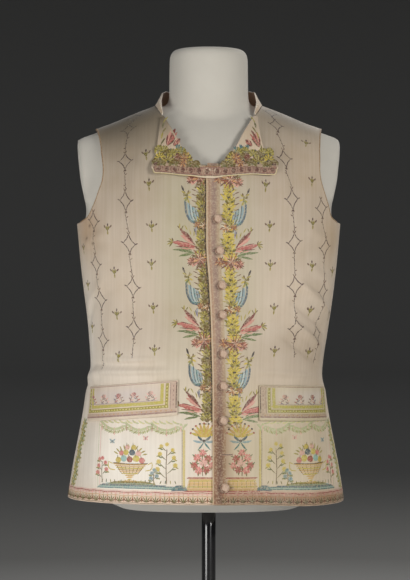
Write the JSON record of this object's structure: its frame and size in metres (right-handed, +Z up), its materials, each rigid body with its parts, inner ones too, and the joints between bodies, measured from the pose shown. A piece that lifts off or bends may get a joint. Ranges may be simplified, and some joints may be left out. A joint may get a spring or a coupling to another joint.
{
  "type": "waistcoat on dress form",
  "caption": "Square-cut sleeveless silk waistcoat with lapels, pocket flaps and covered buttons, worn by a limbless dress form on a pole and round base.",
  "frame": {"origin": "on the floor at the centre of the base's underside, under the pole", "axes": "+Z up; the waistcoat's front faces -Y; +X is the wearer's left"},
  "size_m": [0.4124, 0.33, 1.078],
  "materials": {
    "figured_silk": "ivory ribbed silk with a soft sheen and woven flower borders",
    "plain_back": "plain unbleached linen, matt",
    "covered_button": "silk drawn over a flat mould",
    "form_cover": "white cotton jersey, smooth and matt",
    "black_gloss": "gloss black stoved paint",
    "black_satin": "satin black stoved paint"
  },
  "bodies": {
    "root": {"front_right": "figured_silk", "front_left": "figured_silk", "back": "plain_back", "lapel_right": "figured_silk", "lapel_left": "figured_silk", "pocket_flap_right": "figured_silk", "pocket_flap_left": "figured_silk", "collar": "figured_silk", "button_1": "covered_button", "button_2": "covered_button", "button_3": "covered_button", "button_4": "covered_button", "button_5": "covered_button", "button_6": "covered_button", "button_7": "covered_button", "button_8": "covered_button", "dress_form": "form_cover", "pole": "black_gloss", "base": "black_satin"}
  },
  "joints": []
}
